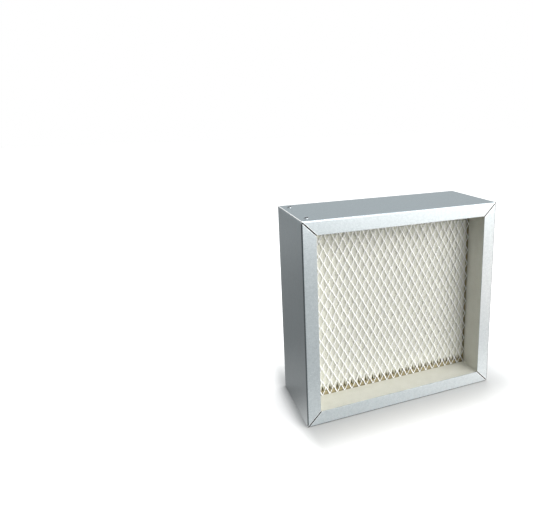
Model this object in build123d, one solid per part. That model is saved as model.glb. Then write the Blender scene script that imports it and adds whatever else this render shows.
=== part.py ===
from build123d import *

import math
import os

# Framed deep filter panel, standing on its long folded base as it is shown.
# X runs across the face, Y from the open front face to the back, Z up.
# The origin is at the middle of the footprint, at the level it stands on.
# All sizes are in millimetres.

# Folded steel casing
casing_width = 305.0
casing_height = 295.0
casing_depth = 115.0
flange_width = 20.0
sheet = 0.8
inner_bend = 0.8
mitre_gap = 0.8
corner_relief = 0.3
lap_gap = 0.2
tab_length = 26.0

# Two blind rivets that close the casing strip
rivet_from_side = 13.0
rivet_from_face = 18.0
rivet_hole_clearance = 0.1
rivet_shank_radius = 2.0
rivet_head_radius = 4.0
rivet_head_height = 1.2
rivet_bore_radius = 1.2
rivet_bulb_radius = 2.9
rivet_bulb_length = 4.0
rivet_bulb_room = 0.6

# Spacer boards in front of and behind the pack
board_thickness = 18.0
board_arris = 1.0
front_recess = 40.0
board_relief_room = 0.2

# Expanded metal face guard
guard_sheet = 1.0
guard_edge_room = 2.0
diamond_width = 11.9
diamond_height = 21.4
strand_width = 1.8

# Pleated media pack
pack_depth = 50.0
pack_setback = 0.8
pleat_pitch = 5.9
pleat_gap = 1.3
pleat_rise = 1.2
media_sheet = 0.5

# Cast sealant that bonds the pack into the casing
sealant_side = 19.2
sealant_ends = 23.7

# Back gasket, four strips with dovetailed ends
gasket_width = 15.0
gasket_thickness = 5.0
gasket_inset = 2.5
dovetail_length = 6.0
dovetail_neck = 5.0
dovetail_head = 8.0
dovetail_room = 0.1

# Levels that several pieces share
bend = inner_bend + sheet
half_width = casing_width / 2
front = -(casing_depth + gasket_thickness) / 2
inside_left = -half_width + sheet
inside_right = half_width - sheet
inside_low = sheet
inside_high = casing_height - sheet
opening_left = inside_left + board_thickness
opening_right = inside_right - board_thickness
opening_low = inside_low + board_thickness
opening_high = inside_high - board_thickness
guard_back = front_recess + guard_sheet
pack_front = guard_back + pack_setback
pack_back = pack_front + pack_depth
sealant_back = pack_back + pack_setback
pack_left = inside_left + sealant_side
pack_right = inside_right - sealant_side
pack_low = inside_low + sealant_ends
pack_high = inside_high - sealant_ends
tab_top = casing_height - sheet - lap_gap
tab_under = tab_top - sheet


def block(left, right, near, far, low, high):
    """A box by its limits; near and far are depths behind the front face."""
    middle = Pos((left + right) / 2, front + (near + far) / 2, (low + high) / 2)
    return middle * Box(right - left, far - near, high - low)


def rivet_places():
    """The rivets' X and Y, one near each face of the casing."""
    x = -half_width + rivet_from_side
    depths = (rivet_from_face, casing_depth - rivet_from_face)
    return [(x, front + depth) for depth in depths]


def channel(length):
    """A folded channel along X, its web down at Z 0, its flanges mitred at both ends."""
    web = Rectangle(casing_depth, flange_width, align=(Align.CENTER, Align.MIN))
    web = fillet(web.vertices().group_by(Axis.Y)[0], bend)
    room = Rectangle(casing_depth - 2 * sheet, flange_width, align=(Align.CENTER, Align.MIN))
    room = fillet(room.vertices().group_by(Axis.Y)[0], inner_bend)
    section = Plane.YZ * (web - Pos(0, sheet) * room)
    back_off = mitre_gap / math.sqrt(2)
    foot = length / 2 - back_off
    tip = foot - flange_width
    mitre = Polyline((-foot, 0), (foot, 0), (tip, flange_width), (-tip, flange_width), close=True)
    body = extrude(section, length / 2, both=True)
    body &= extrude(Plane.XZ * make_face(mitre), casing_depth / 2, both=True)
    end = Box(bend, casing_depth - 2 * bend, bend, align=(Align.MAX, Align.CENTER, Align.MIN))
    body -= Pos(length / 2, 0, 0) * end
    body -= Pos(-length / 2 + bend, 0, 0) * end
    return Pos(0, front + casing_depth / 2, 0) * body


def corner_turn():
    """The web's quarter turn, from the bottom web's end up, with its axis at the origin."""
    ring = Circle(bend) - Circle(inner_bend)
    ring &= Pos(bend / 2, -bend / 2) * Rectangle(bend, bend)
    half = casing_depth / 2 - bend - corner_relief
    return Pos(0, front + casing_depth / 2, 0) * extrude(Plane.XZ * ring, half, both=True)


def make_casing():
    """One notched channel strip, folded at three corners and lapped at the fourth."""
    middle = casing_height / 2
    turn = corner_turn()
    strip = [
        channel(casing_width),
        Pos(half_width, 0, middle) * Rot(0, -90, 0) * channel(casing_height),
        Pos(0, 0, casing_height) * Rot(0, 180, 0) * channel(casing_width),
        Pos(-half_width, 0, middle) * Rot(0, 90, 0) * channel(casing_height),
        Pos(half_width - bend, 0, bend) * turn,
        Pos(half_width - bend, 0, casing_height - bend) * Rot(0, -90, 0) * turn,
        Pos(bend - half_width, 0, bend) * Rot(0, 90, 0) * turn,
    ]

    # The left web turns under the top web's straight end as a tab.
    lap = lap_gap + sheet
    strip[3] -= block(
        -half_width,
        bend - half_width,
        bend,
        casing_depth - bend,
        casing_height - bend - lap,
        casing_height,
    )
    strip.append(Pos(bend - half_width, 0, casing_height - bend - lap) * Rot(0, 180, 0) * turn)
    near = bend + corner_relief
    far = casing_depth - bend - corner_relief
    lapped = -half_width + tab_length
    strip.append(block(bend - half_width, lapped, near, far, tab_under, tab_top))
    strip.append(block(-half_width, bend - half_width, near, far, inside_high, casing_height))
    body = strip[0].fuse(*strip[1:])

    hole = rivet_shank_radius + rivet_hole_clearance
    for x, y in rivet_places():
        body -= Pos(x, y, casing_height) * Cylinder(hole, 4 * bend)
    return body


def make_rivets():
    """Set blind rivets: hollow coned head, shank through both sheets, swelled blind end."""
    grip = casing_height - tab_under
    end = -grip - rivet_bulb_length
    outline = Polyline(
        (rivet_bore_radius, rivet_head_height),
        (rivet_bore_radius, -grip),
        (0, -grip),
        (0, end),
        (rivet_shank_radius, end),
        (rivet_bulb_radius, -grip),
        (rivet_shank_radius, -grip),
        (rivet_shank_radius, 0),
        (rivet_head_radius, 0),
        close=True,
    )
    rivet = revolve(Plane.XZ * make_face(outline), Axis.Z)
    return Compound([Pos(x, y, casing_height) * rivet for x, y in rivet_places()])


def ease(board, inward):
    """Takes the arris off every edge but those of the face that shows."""
    shown = board.faces().sort_by(inward)[-1]
    kept = [edge.center() for edge in shown.edges()]
    hidden = [edge for edge in board.edges() if edge.center() not in kept]
    return chamfer(hidden, board_arris)


def lap_relief():
    """The room that the tab, its turn and the rivets' blind ends need."""
    room = board_relief_room
    relief = block(
        -half_width,
        -half_width + tab_length + room,
        0,
        casing_depth,
        tab_under - room,
        casing_height,
    )
    turn_low = tab_top - bend - room
    relief += block(-half_width, inside_left + bend, 0, casing_depth, turn_low, casing_height)
    radius = rivet_bulb_radius + rivet_bulb_room
    depth = rivet_bulb_length + rivet_bulb_room
    for x, y in rivet_places():
        relief += Pos(x, y, tab_under - depth / 2) * Cylinder(radius, depth)
    return relief


def make_boards(name, near, far):
    """Four boards inside the channel: top and bottom run through, the sides fit between."""
    across = (inside_left, inside_right)
    upright = (opening_low, opening_high)
    bottom = block(*across, near, far, inside_low, opening_low)
    top = block(*across, near, far, opening_high, inside_high)
    left = block(inside_left, opening_left, near, far, *upright)
    right = block(opening_right, inside_right, near, far, *upright)
    return {
        name + "_bottom": ease(bottom, Axis.Z),
        name + "_top": ease(top, -Axis.Z) - lap_relief(),
        name + "_left": ease(left, Axis.X),
        name + "_right": ease(right, -Axis.X),
    }


def diamond_holes():
    """Diamond openings in a staggered lattice, cut off at the edge of the clear opening."""
    width = opening_right - opening_left
    height = opening_high - opening_low
    columns = round(width / diamond_width - 0.5) + 0.5
    rows = round(height / diamond_height)
    step_x = width / columns / 2
    step_z = height / rows / 2
    shrink = 1 - strand_width / 2 * math.hypot(step_x, step_z) / (step_x * step_z)
    half_x = step_x * shrink
    half_z = step_z * shrink
    clear = Pos(0, (opening_low + opening_high) / 2) * Rectangle(width, height)
    holes = []
    for column in range(round(2 * columns) + 1):
        for row in range(round(2 * rows) + 1):
            if (column + row) % 2 == 0:
                continue
            x = opening_right - column * step_x
            z = opening_low + row * step_z
            points = ((x - half_x, z), (x, z - half_z), (x + half_x, z), (x, z + half_z))
            hole = make_face(Polyline(*points, close=True))
            if column in (0, round(2 * columns)) or row in (0, round(2 * rows)):
                hole = hole & clear
            holes.append(hole.face())
    return holes


def make_guard():
    """Expanded metal sheet, clamped by its plain edge behind the front boards."""
    left = inside_left + guard_edge_room
    right = inside_right - guard_edge_room
    low = inside_low + guard_edge_room
    high = inside_high - guard_edge_room
    plate = Pos((left + right) / 2, (low + high) / 2) * Rectangle(right - left, high - low)
    holes = [hole.outer_wire() for hole in diamond_holes()]
    pierced = Face(plate.face().outer_wire(), holes)
    back = Plane(origin=(0, front + front_recess, 0), x_dir=(1, 0, 0), z_dir=(0, -1, 0))
    return extrude(back * pierced, -guard_sheet)


def make_pack():
    """One sheet folded to and fro, its folds upright, its outer walls against the sealant."""
    width = pack_right - pack_left
    count = round(width / pleat_pitch)
    pitch = width / count
    shoulder = (pitch - pleat_gap) / 2
    slope = math.atan2(pleat_rise, shoulder)
    tip_inset = media_sheet / math.cos(slope)
    root_inset = media_sheet * math.tan(math.pi / 4 - slope / 2)

    def crest(x, inner, facing, index):
        """A crest's three points, on the sheet's outer or inner side."""
        half = shoulder - media_sheet if inner else shoulder
        root = pleat_rise + root_inset if inner else pleat_rise
        tip = tip_inset if inner else 0
        first = facing > 0 and index == 0
        last = facing > 0 and index == count - 1
        left = pack_left + shoulder - half if first else x - half
        right = pack_right - shoulder + half if last else x + half
        depths = (root, tip, root)
        if facing < 0:
            depths = [pack_depth - depth for depth in depths]
        return list(zip((left, x, right), depths))

    near_side = [(pack_left, pack_depth)]
    far_side = [(pack_left + media_sheet, pack_depth)]
    for index in range(count):
        x = pack_left + (index + 0.5) * pitch
        near_side += crest(x, False, 1, index)
        far_side += crest(x, True, 1, index)
        if index < count - 1:
            near_side += crest(x + pitch / 2, True, -1, index)
            far_side += crest(x + pitch / 2, False, -1, index)
    near_side.append((pack_right, pack_depth))
    far_side.append((pack_right - media_sheet, pack_depth))
    plan = Plane(origin=(0, front + pack_front, pack_low))
    sheet_plan = make_face(Polyline(*near_side, *reversed(far_side), close=True))
    return extrude(plan * sheet_plan, pack_high - pack_low)


def make_sealant():
    """A cast ring between the casing and the pack, with the tab and rivets bedded in it."""
    ring = block(inside_left, inside_right, guard_back, sealant_back, inside_low, inside_high)
    ring = chamfer(ring.edges().filter_by(Axis.Y), board_arris)
    ring -= block(pack_left, pack_right, 0, casing_depth, pack_low, pack_high)
    return ring - lap_relief()


def dovetail(length, room):
    """The tongue's outline, from its neck at the origin towards plus X."""
    neck = dovetail_neck / 2 + room
    head = dovetail_head / 2 + room
    tip = length + room
    return make_face(Polyline((0, -neck), (tip, -head), (tip, head), (0, neck), close=True))


def gasket_strip(length):
    """A strip along X from the origin: a tongue at its far end, a socket in its side."""
    strip = Pos(length / 2, gasket_width / 2) * Rectangle(length, gasket_width)
    strip += Pos(length, gasket_width / 2) * dovetail(dovetail_length, 0)
    socket = dovetail(dovetail_length, dovetail_room)
    return strip - Pos(gasket_width / 2, gasket_width) * Rot(0, 0, -90) * socket


def make_gasket():
    """Foam strips on the back flanges, each one's tongue in the next one's side."""
    across = casing_width - 2 * gasket_inset
    upright = casing_height - 2 * gasket_inset
    middle = casing_height / 2
    rear = Plane(
        origin=(0, front + casing_depth, middle),
        x_dir=(-1, 0, 0),
        z_dir=(0, 1, 0),
    )
    names = ("gasket_bottom", "gasket_left", "gasket_top", "gasket_right")
    strips = {}
    for turn, name in enumerate(names):
        long, short = (across, upright) if turn % 2 == 0 else (upright, across)
        strip = gasket_strip(long - gasket_width)
        placed = Rot(0, 0, 90 * turn) * Pos(-long / 2, -short / 2) * strip
        strips[name] = extrude(rear * placed, gasket_thickness)
    return strips


parts = {
    "casing": make_casing(),
    "face_guard": make_guard(),
    "media_pack": make_pack(),
    "sealant": make_sealant(),
    "rivets": make_rivets(),
}
parts.update(make_boards("front_board", sheet, front_recess))
parts.update(make_boards("back_board", sealant_back, casing_depth - sheet))
parts.update(make_gasket())

os.makedirs("parts", exist_ok=True)
for name, part in parts.items():
    export_step(part, f"parts/{name}.step")
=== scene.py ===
import math

import bmesh
import bpy
from mathutils import Matrix, Vector, noise


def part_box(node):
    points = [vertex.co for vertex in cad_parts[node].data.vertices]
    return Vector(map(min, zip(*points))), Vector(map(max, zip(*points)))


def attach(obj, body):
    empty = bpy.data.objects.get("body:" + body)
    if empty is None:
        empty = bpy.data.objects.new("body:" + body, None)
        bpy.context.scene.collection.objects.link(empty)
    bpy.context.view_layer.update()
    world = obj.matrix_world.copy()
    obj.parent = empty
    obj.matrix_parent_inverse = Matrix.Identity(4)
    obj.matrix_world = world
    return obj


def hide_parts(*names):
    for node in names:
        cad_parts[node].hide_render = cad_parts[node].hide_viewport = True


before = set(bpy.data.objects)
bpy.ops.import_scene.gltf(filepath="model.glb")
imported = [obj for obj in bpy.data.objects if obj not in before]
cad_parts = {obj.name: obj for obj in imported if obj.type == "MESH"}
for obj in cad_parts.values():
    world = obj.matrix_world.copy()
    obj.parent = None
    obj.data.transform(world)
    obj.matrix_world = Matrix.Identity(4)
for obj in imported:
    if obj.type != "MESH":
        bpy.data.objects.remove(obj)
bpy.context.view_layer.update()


# Casing
# One strip of galvanised steel sheet, folded into a channel round the panel.
# Its flanges are mitred at the corners and its ends lap under two rivets.


def paint(red, green, blue):
    """A colour as it is seen on a screen, 0 to 255, for a shader's colour socket."""
    linear = []
    for value in (red, green, blue):
        value /= 255
        linear.append(value / 12.92 if value <= 0.04045 else ((value + 0.055) / 1.055) ** 2.4)
    return (*linear, 1.0)


def new_material(name, roughness, metallic=0.0):
    """A material; hands it back with its nodes, its links and its shader."""
    material = bpy.data.materials.new(name)
    material.use_nodes = True
    nodes = material.node_tree.nodes
    shader = nodes["Principled BSDF"]
    shader.inputs["Roughness"].default_value = roughness
    shader.inputs["Metallic"].default_value = metallic
    return material, nodes, material.node_tree.links, shader


def dress(piece, material):
    """Gives a CAD node or a new piece its material."""
    piece.data.materials.clear()
    piece.data.materials.append(material)


def blend_colours(nodes, links, mask, first, second):
    """Goes from the first colour to the second by the mask; each is an output or a tuple."""
    node = nodes.new("ShaderNodeMix")
    node.data_type = "RGBA"
    links.new(mask, node.inputs["Factor"])
    for name, colour in (("A", first), ("B", second)):
        if isinstance(colour, tuple):
            node.inputs[name].default_value = colour
        else:
            links.new(colour, node.inputs[name])
    return node.outputs["Result"]


def make_mottle():
    """Cloudy colour and fine grain in one group, for rolled, cast and fibrous surfaces."""
    group = bpy.data.node_groups.new("mottle", "ShaderNodeTree")
    for name, kind, value in (
        ("Light", "NodeSocketColor", (0.8, 0.8, 0.8, 1)),
        ("Dark", "NodeSocketColor", (0.6, 0.6, 0.6, 1)),
        ("Cloud Scale", "NodeSocketFloat", 60.0),
        ("Grain Scale", "NodeSocketFloat", 900.0),
        ("Grain Share", "NodeSocketFloat", 0.4),
        ("Stretch", "NodeSocketVector", (1, 1, 1)),
    ):
        socket = group.interface.new_socket(name, in_out="INPUT", socket_type=kind)
        socket.default_value = value
    group.interface.new_socket("Color", in_out="OUTPUT", socket_type="NodeSocketColor")
    group.interface.new_socket("Mask", in_out="OUTPUT", socket_type="NodeSocketFloat")
    group.interface.new_socket("Height", in_out="OUTPUT", socket_type="NodeSocketFloat")
    nodes, links = group.nodes, group.links
    entry = nodes.new("NodeGroupInput")
    leave = nodes.new("NodeGroupOutput")
    place = nodes.new("ShaderNodeTexCoord")
    stretch = nodes.new("ShaderNodeVectorMath")
    stretch.operation = "MULTIPLY"
    links.new(place.outputs["Object"], stretch.inputs[0])
    links.new(entry.outputs["Stretch"], stretch.inputs[1])
    cloud = nodes.new("ShaderNodeTexNoise")
    cloud.inputs["Detail"].default_value = 5
    links.new(stretch.outputs["Vector"], cloud.inputs["Vector"])
    links.new(entry.outputs["Cloud Scale"], cloud.inputs["Scale"])
    grain = nodes.new("ShaderNodeTexNoise")
    grain.inputs["Detail"].default_value = 3
    links.new(stretch.outputs["Vector"], grain.inputs["Vector"])
    links.new(entry.outputs["Grain Scale"], grain.inputs["Scale"])
    blend = nodes.new("ShaderNodeMix")
    links.new(entry.outputs["Grain Share"], blend.inputs["Factor"])
    links.new(cloud.outputs["Fac"], blend.inputs["A"])
    links.new(grain.outputs["Fac"], blend.inputs["B"])
    spread = nodes.new("ShaderNodeMapRange")
    spread.inputs["From Min"].default_value = 0.35
    spread.inputs["From Max"].default_value = 0.65
    links.new(blend.outputs["Result"], spread.inputs["Value"])
    mask = spread.outputs["Result"]
    colour = blend_colours(nodes, links, mask, entry.outputs["Dark"], entry.outputs["Light"])
    links.new(colour, leave.inputs["Color"])
    links.new(mask, leave.inputs["Mask"])
    links.new(grain.outputs["Fac"], leave.inputs["Height"])
    return group


mottle = make_mottle()


def add_mottle(nodes, links, shader, light, dark, cloud, grain, share, depth, stretch=(1, 1, 1)):
    """Places the mottle in a material and bumps its surface by the grain."""
    group = nodes.new("ShaderNodeGroup")
    group.node_tree = mottle
    group.inputs["Light"].default_value = light
    group.inputs["Dark"].default_value = dark
    group.inputs["Cloud Scale"].default_value = cloud
    group.inputs["Grain Scale"].default_value = grain
    group.inputs["Grain Share"].default_value = share
    group.inputs["Stretch"].default_value = stretch
    links.new(group.outputs["Color"], shader.inputs["Base Color"])
    bump = nodes.new("ShaderNodeBump")
    bump.inputs["Distance"].default_value = depth
    bump.inputs["Strength"].default_value = 0.6
    links.new(group.outputs["Height"], bump.inputs["Height"])
    links.new(bump.outputs["Normal"], shader.inputs["Normal"])
    return group


casing_low, casing_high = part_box("casing")
fold_radius = 0.0016
mitre_shade_width = 0.0013
mitre_highlight_width = 0.0021
lap_highlight_width = 0.0015
edge_round = 0.0007
fold_shade_share = 0.85

zinc, nodes, links, shader = new_material("galvanised sheet", 0.30, metallic=1.0)
spangle = add_mottle(
    nodes, links, shader, paint(187, 196, 200), paint(166, 176, 181),
    cloud=260, grain=700, share=0.6, depth=0.00005, stretch=(1, 3, 1),
)


def node_math(nodes, links, operation, first, second):
    """One maths node; each input is another node's output or a plain number."""
    node = nodes.new("ShaderNodeMath")
    node.operation = operation
    for socket, value in zip(node.inputs, (first, second)):
        if isinstance(value, (int, float)):
            socket.default_value = value
        else:
            links.new(value, socket)
    return node.outputs["Value"]


def tint(nodes, links, shader, under, colour, mask):
    """Lays a colour over the surface where the mask says so; hands back the mix."""
    layer = blend_colours(nodes, links, mask, under, colour)
    links.new(layer, shader.inputs["Base Color"])
    return layer


def object_axes(nodes, links):
    """X, Y and Z of a place on the piece, in metres."""
    place = nodes.new("ShaderNodeTexCoord")
    split = nodes.new("ShaderNodeSeparateXYZ")
    links.new(place.outputs["Object"], split.inputs["Vector"])
    return split.outputs["X"], split.outputs["Y"], split.outputs["Z"]


# How far a place on the sheet is from the casing's sides, its ends and its two faces.
at_x, at_y, at_z = object_axes(nodes, links)
middle_y = (casing_low.y + casing_high.y) / 2
reach_x = node_math(nodes, links, "ABSOLUTE", at_x, 0)
from_side = node_math(nodes, links, "SUBTRACT", casing_high.x, reach_x)
from_top = node_math(nodes, links, "SUBTRACT", casing_high.z, at_z)
from_end = node_math(nodes, links, "MINIMUM", at_z, from_top)
reach_y = node_math(nodes, links, "SUBTRACT", at_y, middle_y)
reach_y = node_math(nodes, links, "ABSOLUTE", reach_y, 0)
from_face = node_math(nodes, links, "SUBTRACT", casing_high.y - middle_y, reach_y)
near_face = node_math(nodes, links, "LESS_THAN", from_face, fold_radius)

# The sheet is darkened along its side and bottom folds as painted shade, so the folds read as
# thin dark lines.
near_side = node_math(nodes, links, "LESS_THAN", from_side, fold_radius)
near_base = node_math(nodes, links, "LESS_THAN", at_z, fold_radius)
painted_fold_shade = node_math(nodes, links, "MAXIMUM", near_side, near_base)
painted_fold_shade = node_math(nodes, links, "MULTIPLY", painted_fold_shade, near_face)
painted_fold_shade = node_math(nodes, links, "MULTIPLY", painted_fold_shade, fold_shade_share)
skin = tint(nodes, links, shader, spangle.outputs["Color"], paint(62, 70, 74), painted_fold_shade)

# At the mitres the sheared edges get a painted highlight, and the cut between them a painted
# shade.
off_mitre = node_math(nodes, links, "SUBTRACT", from_side, from_end)
off_mitre = node_math(nodes, links, "ABSOLUTE", off_mitre, 0)
painted_mitre_highlight = node_math(nodes, links, "LESS_THAN", off_mitre, mitre_highlight_width)
painted_mitre_highlight = node_math(nodes, links, "MULTIPLY", painted_mitre_highlight, near_face)
skin = tint(nodes, links, shader, skin, paint(224, 229, 231), painted_mitre_highlight)
painted_mitre_shade = node_math(nodes, links, "LESS_THAN", off_mitre, mitre_shade_width)
painted_mitre_shade = node_math(nodes, links, "MULTIPLY", painted_mitre_shade, near_face)
skin = tint(nodes, links, shader, skin, paint(44, 50, 52), painted_mitre_shade)

# The lapped end of the strip shows its sheared edge at the top of the left side; there it is
# painted white and not metallic, as a painted highlight.
past_side = node_math(nodes, links, "LESS_THAN", at_x, casing_low.x + lap_highlight_width)
painted_lap_highlight = node_math(nodes, links, "LESS_THAN", from_top, lap_highlight_width)
painted_lap_highlight = node_math(nodes, links, "MULTIPLY", painted_lap_highlight, past_side)
tint(nodes, links, shader, skin, paint(255, 255, 255), painted_lap_highlight)
links.new(node_math(nodes, links, "SUBTRACT", 1.0, painted_lap_highlight), shader.inputs["Metallic"])

# Every sheared edge is rounded a little, so it catches the light.
rounded = nodes.new("ShaderNodeBevel")
rounded.samples = 4
rounded.inputs["Radius"].default_value = edge_round
bump = shader.inputs["Normal"].links[0].from_node
links.new(rounded.outputs["Normal"], bump.inputs["Normal"])
dress(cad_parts["casing"], zinc)


# Spacer boards
# Cream primed boards that line the channel in front of the pack and behind it.
# They are cut square, slid in behind the flanges, and clamp the guard's edge.

primer, nodes, links, shader = new_material("cream primer", 0.55)
coat = add_mottle(
    nodes, links, shader, paint(224, 224, 216), paint(214, 214, 204),
    cloud=60, grain=900, share=0.5, depth=0.00003,
)

# The ends against the flange are raw board, painted near black as the shade that shows through
# the mitres.
board_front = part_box("front_board_left")[0].y
raw_end_shade_depth = 0.0008
at_y = object_axes(nodes, links)[1]
raw_end_shade = node_math(nodes, links, "LESS_THAN", at_y, board_front + raw_end_shade_depth)
tint(nodes, links, shader, coat.outputs["Color"], paint(40, 36, 30), raw_end_shade)
for name in sorted(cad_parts):
    if "_board_" in name:
        dress(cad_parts[name], primer)


# Sealant
# Cast polyurethane that bonds the pack into the channel, tan where it shows.
# It is poured round the pack and sets as one ring.

resin, nodes, links, shader = new_material("tan sealant", 0.35)
add_mottle(
    nodes, links, shader, paint(170, 160, 126), paint(143, 133, 99),
    cloud=160, grain=700, share=0.3, depth=0.00006,
)
dress(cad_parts["sealant"], resin)


# Media pack
# Glass fibre paper folded to and fro, its folds upright behind the guard.
# The folds wander a little and their crests are rounded.

pack_low, pack_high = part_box("media_pack")
pleats = 45
pleat_pitch = (pack_high.x - pack_low.x) / pleats
pleat_gap = 0.0001
crest_radius = 0.0003
paper = 0.0004
pinch_height = 0.009
pinch = 0.64
wander = 0.00015
set_back = 0.0012
end_rises = 4
middle_rises = 22
wander_scale = 40
wander_seed = 1
soaked_reach = 0.009


def new_piece(name, bm):
    """Makes a finished bmesh an object of the scene."""
    mesh = bpy.data.meshes.new(name)
    bm.to_mesh(mesh)
    bm.free()
    piece = bpy.data.objects.new(name, mesh)
    bpy.context.scene.collection.objects.link(piece)
    return piece


bm = bmesh.new()
front_y = pack_low.y + set_back + paper / 2
back_y = pack_high.y - paper / 2
half_crest = (pleat_pitch - pleat_gap) / 2
pleat_outline = (
    (pleat_pitch / 2 - half_crest, front_y),
    (pleat_pitch / 2 + half_crest, front_y),
    (pleat_pitch - half_crest, back_y),
    (pleat_pitch + half_crest, back_y),
)
row = [bm.verts.new((pack_low.x, back_y, pack_low.z))]
row.append(bm.verts.new((pack_low.x + half_crest, back_y, pack_low.z)))
for index in range(pleats):
    for x, y in pleat_outline:
        x = min(pack_low.x + index * pleat_pitch + x, pack_high.x)
        row.append(bm.verts.new((x, y, pack_low.z)))
for start, end in zip(row, row[1:]):
    bm.edges.new((start, end))
bmesh.ops.bevel(
    bm,
    geom=row[1:-1],
    affect="VERTICES",
    offset=crest_radius,
    segments=4,
    profile=0.5,
    material=-1,
)

# The strip of folds is drawn upwards, in short steps at its two ends.
row = bm.edges[:]
middle_height = pack_high.z - pack_low.z - 2 * pinch_height
end_steps = [pinch_height / end_rises] * end_rises
middle_steps = [middle_height / middle_rises] * middle_rises
for rise in end_steps + middle_steps + end_steps:
    lifted = bmesh.ops.extrude_edge_only(bm, edges=row)["geom"]
    row = [item for item in lifted if isinstance(item, bmesh.types.BMEdge)]
    moved = [item for item in lifted if isinstance(item, bmesh.types.BMVert)]
    bmesh.ops.translate(bm, verts=moved, vec=(0, 0, rise))

# Near the sealant the folds are pinched, and everywhere they wander a little, from a
# fixed seed, so that every run makes the same folds and the same strands.
noise.seed_set(wander_seed)
for vert in bm.verts:
    turn = min(pleats - 1, max(0, math.floor((vert.co.x - pack_low.x) / pleat_pitch)))
    centre = pack_low.x + (turn + 0.5) * pleat_pitch
    from_end = min(vert.co.z - pack_low.z, pack_high.z - vert.co.z)
    closeness = max(0.0, 1 - from_end / pinch_height)
    vert.co.x += (centre - vert.co.x) * pinch * closeness
    drift = noise.noise_vector(vert.co * wander_scale)
    vert.co.x += drift.x * wander * (1 - closeness)
    vert.co.y += abs(drift.y) * wander
bmesh.ops.recalc_face_normals(bm, faces=bm.faces[:])
folds = new_piece("media_folds", bm)
wall = folds.modifiers.new("paper", "SOLIDIFY")
wall.thickness = paper
wall.offset = 0

fibre, nodes, links, shader = new_material("glass fibre paper", 0.85)
shader.inputs["Subsurface Weight"].default_value = 0.3
shader.inputs["Subsurface Radius"].default_value = (1.0, 1.0, 0.8)
shader.inputs["Subsurface Scale"].default_value = 0.002
weave = add_mottle(
    nodes, links, shader, paint(243, 244, 232), paint(238, 239, 226),
    cloud=70, grain=900, share=0.4, depth=0.00005,
)


def ramp(nodes, links, value, start, end, low, high):
    """A soft slope from low to high while the value goes from start to end."""
    node = nodes.new("ShaderNodeMapRange")
    node.interpolation_type = "SMOOTHSTEP"
    for socket, number in zip(node.inputs[1:5], (start, end, low, high)):
        socket.default_value = number
    links.new(value, node.inputs["Value"])
    return node.outputs["Result"]


# At both ends the paper has drawn up some of the sealant, which darkens it.
at_z = object_axes(nodes, links)[2]
from_low = node_math(nodes, links, "SUBTRACT", at_z, pack_low.z)
from_high = node_math(nodes, links, "SUBTRACT", pack_high.z, at_z)
from_sealant = node_math(nodes, links, "MINIMUM", from_low, from_high)
soaked = ramp(nodes, links, from_sealant, 0.001, soaked_reach, 0.5, 0.0)
tint(nodes, links, shader, weave.outputs["Color"], paint(190, 180, 146), soaked)
dress(folds, fibre)
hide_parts("media_pack")
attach(folds, "root")


# Face guard
# Expanded steel, coated white: slit, pulled open and left raised.
# Each strip between two columns of bonds is turned on edge by the pull.

guard_low, guard_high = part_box("face_guard")
board_low, board_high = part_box("front_board_left")
open_left = board_high.x
open_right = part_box("front_board_right")[0].x
open_low = board_low.z
open_high = board_high.z
strips = 45
rows = 12
bond_step = (open_right - open_left) / strips
half_row = (open_high - open_low) / (2 * rows)
strand_width = 0.0018
strand_sheet = 0.0006
bond_length = 0.0014
twist = math.radians(20)
strand_round = 0.00028
stand_proud = 0.0003
guard_middle = (guard_low.y + guard_high.y) / 2 - stand_proud
across = Vector((math.cos(twist), math.sin(twist), 0)) * strand_width / 2
through = Vector((-math.sin(twist), math.cos(twist), 0)) * strand_sheet / 2


def make_strip(name, at_left):
    """One slit strip as it is pulled open, from its bond at the left or at the right."""
    bm = bmesh.new()
    left_centre = Vector((0, guard_middle, 0)) + across
    right_centre = Vector((bond_step, guard_middle, 0)) - across
    here = (left_centre if at_left else right_centre) + Vector((0, 0, open_low))
    ends = ((-1, -1), (1, -1), (1, 1), (-1, 1))
    face = bm.faces.new([bm.verts.new(here + a * across + t * through) for a, t in ends])
    bottom = face
    for row in range(2 * rows):
        for step in range(3):
            target = here.copy()
            if step == 0:
                target.z = open_low + row * half_row + bond_length / 2
            elif step == 1:
                at_left = not at_left
                end = left_centre if at_left else right_centre
                target = Vector((end.x, end.y, here.z + half_row - bond_length))
            else:
                target.z = open_low + (row + 1) * half_row
            lifted = bmesh.ops.extrude_face_region(bm, geom=[face])["geom"]
            moved = [item for item in lifted if isinstance(item, bmesh.types.BMVert)]
            bmesh.ops.translate(bm, verts=moved, vec=target - here)
            if face is not bottom:
                bmesh.ops.delete(bm, geom=[face], context="FACES_ONLY")
            face = next(item for item in lifted if isinstance(item, bmesh.types.BMFace))
            here = target
    mesh = bpy.data.meshes.new(name)
    bm.to_mesh(mesh)
    bm.free()
    return mesh


from_left = make_strip("strip_from_left", True)
from_right = make_strip("strip_from_right", False)
bm = bmesh.new()
for strip in range(strips):
    bm.from_mesh(from_left if (strips - strip) % 2 == 0 else from_right)
    bm.verts.ensure_lookup_table()
    moved = bm.verts[strip * len(from_left.vertices) :]
    bmesh.ops.translate(bm, verts=moved, vec=(open_left + strip * bond_step, 0, 0))
bmesh.ops.recalc_face_normals(bm, faces=bm.faces[:])

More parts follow.
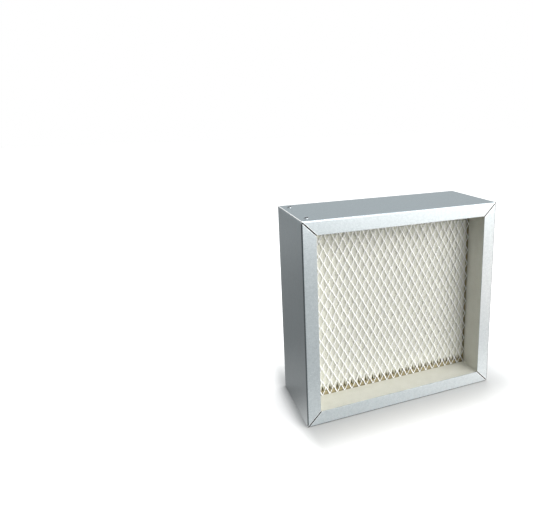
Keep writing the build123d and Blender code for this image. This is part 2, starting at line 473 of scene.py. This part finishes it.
# The mesh is never quite even, and it has taken a few knocks.
knocks = (
    (Vector((-0.0785, guard_middle, 0.2500)), Vector((0.0012, 0.0006, -0.0010))),
    (Vector((-0.0835, guard_middle, 0.2545)), Vector((-0.0008, 0.0, 0.0012))),
    (Vector((-0.0920, guard_middle, 0.1620)), Vector((0.0014, 0.0006, 0.0008))),
    (Vector((-0.0974, guard_middle, 0.1530)), Vector((0.0, 0.0006, 0.0014))),
    (Vector((0.0690, guard_middle, 0.0280)), Vector((-0.0012, 0.0006, 0.0010))),
    (Vector((0.0735, guard_middle, 0.0560)), Vector((0.0012, 0.0006, -0.0010))),
)
knock_reach = 0.009
uneven = (0.00035, 0.0001, 0.0005)
uneven_scale = 55
held_edge = 0.004
for vert in bm.verts:
    drift = noise.noise_vector(vert.co * uneven_scale)
    inside_x = min(vert.co.x - open_left, open_right - vert.co.x)
    inside_z = min(vert.co.z - open_low, open_high - vert.co.z)
    free = min(1.0, max(0.0, min(inside_x, inside_z) / held_edge))
    shift = Vector([part * most for part, most in zip(drift, uneven)]) * free
    for spot, push in knocks:
        shift += push * math.exp(-(((vert.co - spot).length / knock_reach) ** 2))
    vert.co += shift
strands = new_piece("guard_strands", bm)
round_edge = strands.modifiers.new("sheared edges", "BEVEL")
round_edge.width = strand_round
round_edge.segments = 2
round_edge.limit_method = "ANGLE"
round_edge.angle_limit = math.radians(50)

# The sheet's plain margin, clamped between the front boards and the sealant.
bm = bmesh.new()
bmesh.ops.create_grid(bm, x_segments=1, y_segments=1, size=0.5)
bmesh.ops.scale(
    bm,
    vec=(guard_high.x - guard_low.x, guard_high.z - guard_low.z, 1),
    verts=bm.verts[:],
)
hole = bm.faces[:]
margin = open_left - guard_low.x
bmesh.ops.inset_region(bm, faces=hole, thickness=margin, use_boundary=True)
bmesh.ops.delete(bm, geom=hole, context="FACES")
bmesh.ops.solidify(bm, geom=bm.faces[:], thickness=guard_high.y - guard_low.y)
bmesh.ops.rotate(bm, verts=bm.verts[:], matrix=Matrix.Rotation(math.radians(90), 3, "X"))
lows = [min(vert.co[axis] for vert in bm.verts) for axis in range(3)]
highs = [max(vert.co[axis] for vert in bm.verts) for axis in range(3)]
shift = [(guard_low[axis] + guard_high[axis] - lows[axis] - highs[axis]) / 2 for axis in range(3)]
bmesh.ops.translate(bm, verts=bm.verts[:], vec=shift)
bmesh.ops.recalc_face_normals(bm, faces=bm.faces[:])
plain = new_piece("guard_margin", bm)

coating, nodes, links, shader = new_material("white coated steel", 0.35)
add_mottle(
    nodes, links, shader, paint(252, 253, 253), paint(242, 244, 245),
    cloud=200, grain=1500, share=0.4, depth=0.00003,
)
for piece in (strands, plain):
    dress(piece, coating)
    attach(piece, "root")
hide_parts("face_guard")


# Rivets
# Aluminium blind rivets through both ends of the casing strip.
# Their heads are domed, and their mandrels are broken off down in the bore.

rivet_low, rivet_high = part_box("rivets")
rivet_reach = (rivet_high.x - rivet_low.x) / 2
rivet_x = (rivet_low.x + rivet_high.x) / 2
sheet_top = casing_high.z
head_rise = rivet_high.z - sheet_top
shank = 0.0020
bulb = 0.0029
grip = 0.0018
blind_end = rivet_low.z - sheet_top
bulb_taper = 0.0006
tip_taper = 0.0004
bore = 0.0023
bore_depth = 0.0009
bore_slope = 0.0001
lip_width = 0.0003
lip_depth = 0.0002
crown = 0.0029
crown_drop = 0.0003
shoulder = 0.0034
shoulder_rise = head_rise * 0.35
brim = 0.0001
bore_shade_reach = bore + 0.00008
rivet_outline = (
    (0, head_rise - bore_depth),
    (bore, head_rise - bore_depth),
    (bore + bore_slope, head_rise - lip_depth),
    (bore + lip_width, head_rise),
    (crown, head_rise - crown_drop),
    (shoulder, shoulder_rise),
    (rivet_reach, brim),
    (rivet_reach, 0),
    (shank, 0),
    (shank, -grip),
    (bulb, -grip - bulb_taper),
    (shank, blind_end + tip_taper),
    (0, blind_end),
)
bm = bmesh.new()
points = [bm.verts.new((radius, 0, height)) for radius, height in rivet_outline]
for start, end in zip(points, points[1:]):
    bm.edges.new((start, end))
bmesh.ops.spin(
    bm,
    geom=bm.edges[:] + bm.verts[:],
    cent=(0, 0, 0),
    axis=(0, 0, 1),
    angle=math.tau,
    steps=32,
    use_merge=True,
)
bmesh.ops.remove_doubles(bm, verts=bm.verts[:], dist=0.00001)
bmesh.ops.recalc_face_normals(bm, faces=bm.faces[:])
# The mandrel and the walls of the bore take the second finish: dark steel, darkened to near black
# as painted shade down in the bore.
for face in bm.faces:
    centre = face.calc_center_median()
    if centre.xy.length < bore_shade_reach and centre.z > 0:
        face.material_index = 1
front_rivet = bm.verts[:]
copied = bmesh.ops.duplicate(bm, geom=bm.verts[:] + bm.edges[:] + bm.faces[:])["geom"]
back_rivet = [item for item in copied if isinstance(item, bmesh.types.BMVert)]
bmesh.ops.translate(bm, verts=front_rivet, vec=(rivet_x, rivet_low.y + rivet_reach, sheet_top))
bmesh.ops.translate(bm, verts=back_rivet, vec=(rivet_x, rivet_high.y - rivet_reach, sheet_top))
rivets = new_piece("set_rivets", bm)

alloy, nodes, links, shader = new_material("rivet aluminium", 0.45, metallic=1.0)
add_mottle(
    nodes, links, shader, paint(172, 176, 179), paint(156, 160, 163),
    cloud=300, grain=1500, share=0.5, depth=0.00002,
)
# Near black: the mandrel's dark steel together with painted shade in the bore.
mandrel_and_bore_shade, nodes, links, shader = new_material("broken mandrel", 0.6, metallic=0.8)
add_mottle(
    nodes, links, shader, paint(52, 52, 52), paint(34, 34, 34),
    cloud=600, grain=2500, share=0.5, depth=0.00005,
)
for finish in (alloy, mandrel_and_bore_shade):
    rivets.data.materials.append(finish)
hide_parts("rivets")
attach(rivets, "root")


# Gasket
# Black closed-cell foam strips, stuck on the back flanges and dovetailed at the corners.
# They seal the panel against the rim that it is clamped to.

foam, nodes, links, shader = new_material("black foam", 0.85)
add_mottle(
    nodes, links, shader, paint(46, 47, 48), paint(30, 31, 32),
    cloud=250, grain=1300, share=0.6, depth=0.0002,
)
for name in sorted(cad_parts):
    if name.startswith("gasket"):
        dress(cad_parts[name], foam)


# Floor, light and camera
# A white floor that keeps the soft shadow, partly painted; one large light from the front right,
# a small one from above, and the camera at the photograph's angle.

floor_half = 6
bm = bmesh.new()
bmesh.ops.create_grid(bm, x_segments=1, y_segments=1, size=floor_half)
floor = new_piece("floor", bm)
ground, nodes, links, shader = new_material("white floor", 0.9)
shader.inputs["Specular IOR Level"].default_value = 0
at_x, at_y = object_axes(nodes, links)[:2]
ray = nodes.new("ShaderNodeLightPath")

# The floor is one grey to the camera, another to metal, and dark to the matt pieces; the grey
# that metal sees is graded from front to back as a painted reflection.
floor_seen = (0.66, 0.66, 0.66, 1)
floor_bounce = (0.06, 0.06, 0.06, 1)
shaded = ramp(nodes, links, at_y, -0.1, 0.1, 0.40, 0.28)
beyond = ramp(nodes, links, at_y, 0.45, 1.1, 0.0, 0.16)
in_metal = node_math(nodes, links, "ADD", shaded, beyond)
shade = blend_colours(nodes, links, ray.outputs["Is Camera Ray"], in_metal, floor_seen)
tint(nodes, links, shader, shade, floor_bounce, ray.outputs["Is Diffuse Ray"])

# Away from the panel's foot the floor is lifted to white; close to the foot it stays grey as a
# painted shadow, and left of the panel it is lifted further, painted light over the real shadow
# there.
past_x = node_math(nodes, links, "ABSOLUTE", at_x, 0)
past_x = node_math(nodes, links, "SUBTRACT", past_x, casing_high.x)
past_y = node_math(nodes, links, "ABSOLUTE", at_y, 0)
past_y = node_math(nodes, links, "SUBTRACT", past_y, casing_high.y)
past_x = node_math(nodes, links, "MAXIMUM", past_x, 0)
past_y = node_math(nodes, links, "MAXIMUM", past_y, 0)
away = node_math(nodes, links, "POWER", past_x, 2)
away = node_math(nodes, links, "ADD", away, node_math(nodes, links, "POWER", past_y, 2))
away = node_math(nodes, links, "SQRT", away, 0)
painted_shadow_lift = ramp(nodes, links, away, 0.0, 0.12, 0.0, 0.75)
left_painted_light = ramp(nodes, links, at_x, -0.145, -0.175, 0.0, 0.55)
painted_shadow_lift = node_math(nodes, links, "ADD", painted_shadow_lift, left_painted_light)
seen = node_math(nodes, links, "MULTIPLY", ray.outputs["Is Camera Ray"], painted_shadow_lift)

# Metal sees the lit floor in front of it as a painted reflection: the floor glows for glossy
# rays, though it is no lamp, warmer, and brighter towards the right, in front and at the foot.
white = (1, 1, 1, 1)
warm_left = (1, 0.955, 0.92, 1)
warm_right = (1, 0.85, 0.77, 1)
rightward = ramp(nodes, links, at_x, -0.1, 0.5, 0.0, 1.0)
warm = blend_colours(nodes, links, rightward, warm_left, warm_right)
reflection_glow = blend_colours(nodes, links, ray.outputs["Is Glossy Ray"], white, warm)
links.new(reflection_glow, shader.inputs["Emission Color"])
in_front = ramp(nodes, links, at_y, 0.05, -0.10, 0.08, 1.0)
to_right = ramp(nodes, links, at_x, -0.15, 1.1, 0.155, 0.89)
closer = ramp(nodes, links, at_y, -0.9, -0.3, 1.0, 2.6)
to_right = node_math(nodes, links, "MULTIPLY", to_right, closer)
at_foot = ramp(nodes, links, away, 0.0, 0.18, 1.0, 0.0)
foot_glow = ramp(nodes, links, at_x, -0.15, 0.2, 0.36, 0.57)
at_foot = node_math(nodes, links, "MULTIPLY", at_foot, foot_glow)
painted_shine = node_math(nodes, links, "ADD", to_right, at_foot)
painted_shine = node_math(nodes, links, "MULTIPLY", in_front, painted_shine)
beside = ramp(nodes, links, away, 0.0, 0.2, 0.12, 0.0)
painted_shine = node_math(nodes, links, "ADD", painted_shine, beside)
mirrored = node_math(nodes, links, "MULTIPLY", ray.outputs["Is Glossy Ray"], painted_shine)
links.new(node_math(nodes, links, "ADD", seen, mirrored), shader.inputs["Emission Strength"])
dress(floor, ground)

# The room is dark towards the front left, and dimmer and cooler behind than in front.
dim_side = (-0.8, -0.6, 0)
world = bpy.data.worlds.new("studio")
bpy.context.scene.world = world
world.use_nodes = True
nodes, links = world.node_tree.nodes, world.node_tree.links
sky = nodes["Background"]
way = nodes.new("ShaderNodeTexCoord")
side = nodes.new("ShaderNodeVectorMath")
side.operation = "DOT_PRODUCT"
side.inputs[1].default_value = dim_side
links.new(way.outputs["Generated"], side.inputs[0])
room = ramp(nodes, links, side.outputs["Value"], 0.0, 0.85, 1.08, 0.03)
split = nodes.new("ShaderNodeSeparateXYZ")
links.new(way.outputs["Generated"], split.inputs["Vector"])
behind = ramp(nodes, links, split.outputs["Y"], -0.2, 0.6, 1.0, 0.62)
room = node_math(nodes, links, "MULTIPLY", room, behind)
seen = nodes.new("ShaderNodeLightPath").outputs["Is Camera Ray"]
front_air = (0.985, 0.97, 0.94, 1)
back_air = (0.93, 0.98, 1, 1)
backward = ramp(nodes, links, split.outputs["Y"], -0.6, 0.0, 0.0, 1.0)
air = blend_colours(nodes, links, backward, front_air, back_air)
links.new(blend_colours(nodes, links, seen, air, white), sky.inputs["Color"])
links.new(node_math(nodes, links, "MAXIMUM", room, seen), sky.inputs["Strength"])


def add_lamp(name, place, target, size, power, colour):
    """A soft square light that points at a place on the panel."""
    lamp = bpy.data.lights.new(name, "AREA")
    lamp.shape = "SQUARE"
    lamp.size = size
    lamp.energy = power
    lamp.color = colour
    lantern = bpy.data.objects.new(name, lamp)
    lantern.location = place
    lantern.rotation_euler = (Vector(target) - Vector(place)).to_track_quat("-Z", "Y").to_euler()
    bpy.context.scene.collection.objects.link(lantern)


panel_middle = (0, 0, 0.15)
add_lamp("key", (0.85, -1.65, 0.72), panel_middle, size=2.2, power=48, colour=(1, 0.985, 0.965))
add_lamp("top", (0.3, 0.4, 1.7), panel_middle, size=0.7, power=10, colour=(1, 1, 1))

# The lens and the middle of the view are in pixels of the photograph.
wide = 533
high = 519
focal = 501.57
middle_across = 351.13
middle_down = 216.13
view = bpy.data.cameras.new("camera")
view.sensor_width = 36
view.lens = focal * view.sensor_width / wide
view.shift_x = (wide / 2 - middle_across) / wide
view.shift_y = (middle_down - high / 2) / wide
view.clip_start = 0.01
camera = bpy.data.objects.new("camera", view)
yaw = math.radians(22.875)
pitch = math.radians(12.467)
roll = math.radians(-0.602)
stand = Vector((-0.33470, -0.65475, 0.43869))
ahead = Vector((math.sin(yaw), math.cos(yaw), 0))
forward = ahead * math.cos(pitch) - Vector((0, 0, math.sin(pitch)))
level = Vector((math.cos(yaw), -math.sin(yaw), 0))
upright = level.cross(forward)
aside = math.cos(roll) * level + math.sin(roll) * upright
upward = -math.sin(roll) * level + math.cos(roll) * upright
turned = Matrix((aside, upward, -forward)).transposed().to_4x4()
camera.matrix_world = Matrix.Translation(stand) @ turned
bpy.context.scene.collection.objects.link(camera)
bpy.context.scene.camera = camera
bpy.context.scene.view_settings.view_transform = "Standard"
